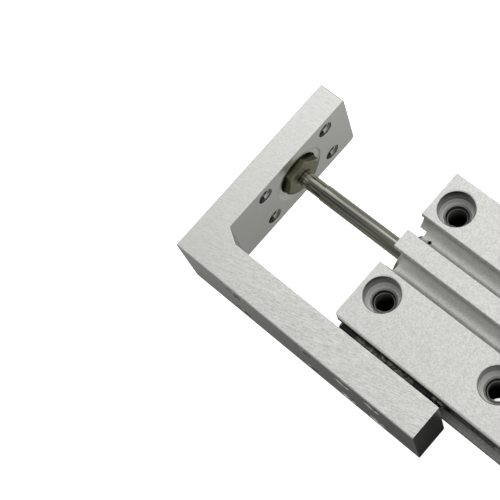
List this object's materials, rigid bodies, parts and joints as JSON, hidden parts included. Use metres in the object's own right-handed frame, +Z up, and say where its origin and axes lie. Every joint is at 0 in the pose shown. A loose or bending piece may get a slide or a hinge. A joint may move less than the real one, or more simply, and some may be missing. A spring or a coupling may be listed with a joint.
{
  "type": "pneumatic slide table",
  "caption": "Compact air cylinder whose L-shaped table runs out along a recirculating ball guide on the body's side and is pushed by a central piston rod.",
  "frame": {"origin": "centre of the cylinder body's flat bottom mounting face", "axes": "+X along the stroke, towards the end plate; +Y towards the ball guide and the table's arm; +Z up, away from the mounting face"},
  "size_m": [0.107, 0.0495, 0.02],
  "materials": {
    "body_aluminium": "fine bead-blasted, clear anodised",
    "table_aluminium": "fine milled, clear anodised",
    "cover_aluminium": "turned",
    "bush_bronze": "sintered bronze",
    "seal_rubber": "matt nitrile rubber",
    "bumper_rubber": "matt urethane rubber",
    "spring_steel": "plain bright steel",
    "guide_steel": "ground hardened stainless steel",
    "ball_steel": "polished hardened steel",
    "screw_steel": "dark steel",
    "rod_chrome": "polished, hard chromed",
    "nut_steel": "turned, olive passivated",
    "wear_plastic": "filled fluoropolymer",
    "magnet_ceramic": "dark sintered ceramic",
    "cap_plastic": "black moulded plastic"
  },
  "bodies": {
    "cylinder": {"cylinder_body": "body_aluminium", "rod_cover": "cover_aluminium", "rod_bush": "bush_bronze", "rod_seal": "seal_rubber", "rod_cover_oring": "seal_rubber", "rod_cover_ring": "spring_steel", "head_cover": "cover_aluminium", "head_cover_oring": "seal_rubber", "head_cover_ring": "spring_steel", "front_bumper": "bumper_rubber", "rear_bumper": "bumper_rubber", "guide_rail": "guide_steel", "rail_screws": "screw_steel"},
    "table": {"table_plate": "table_aluminium", "piston_rod": "rod_chrome", "rod_nut": "nut_steel", "float_washer": "spring_steel", "rod_end_screw": "screw_steel", "piston": "cover_aluminium", "piston_seal": "seal_rubber", "wear_ring": "wear_plastic", "magnet_ring": "magnet_ceramic", "piston_plate": "cover_aluminium", "piston_nut": "spring_steel", "guide_block": "guide_steel", "front_end_cap": "cap_plastic", "rear_end_cap": "cap_plastic", "front_end_seal": "seal_rubber", "rear_end_seal": "seal_rubber", "end_cap_screws": "spring_steel", "guide_balls": "ball_steel", "block_screws": "screw_steel"}
  },
  "joints": [
    {"name": "table_slide", "type": "slide", "parent": "cylinder", "child": "table", "axis": [1, 0, 0], "range_m": [-0.03, 0]}
  ]
}
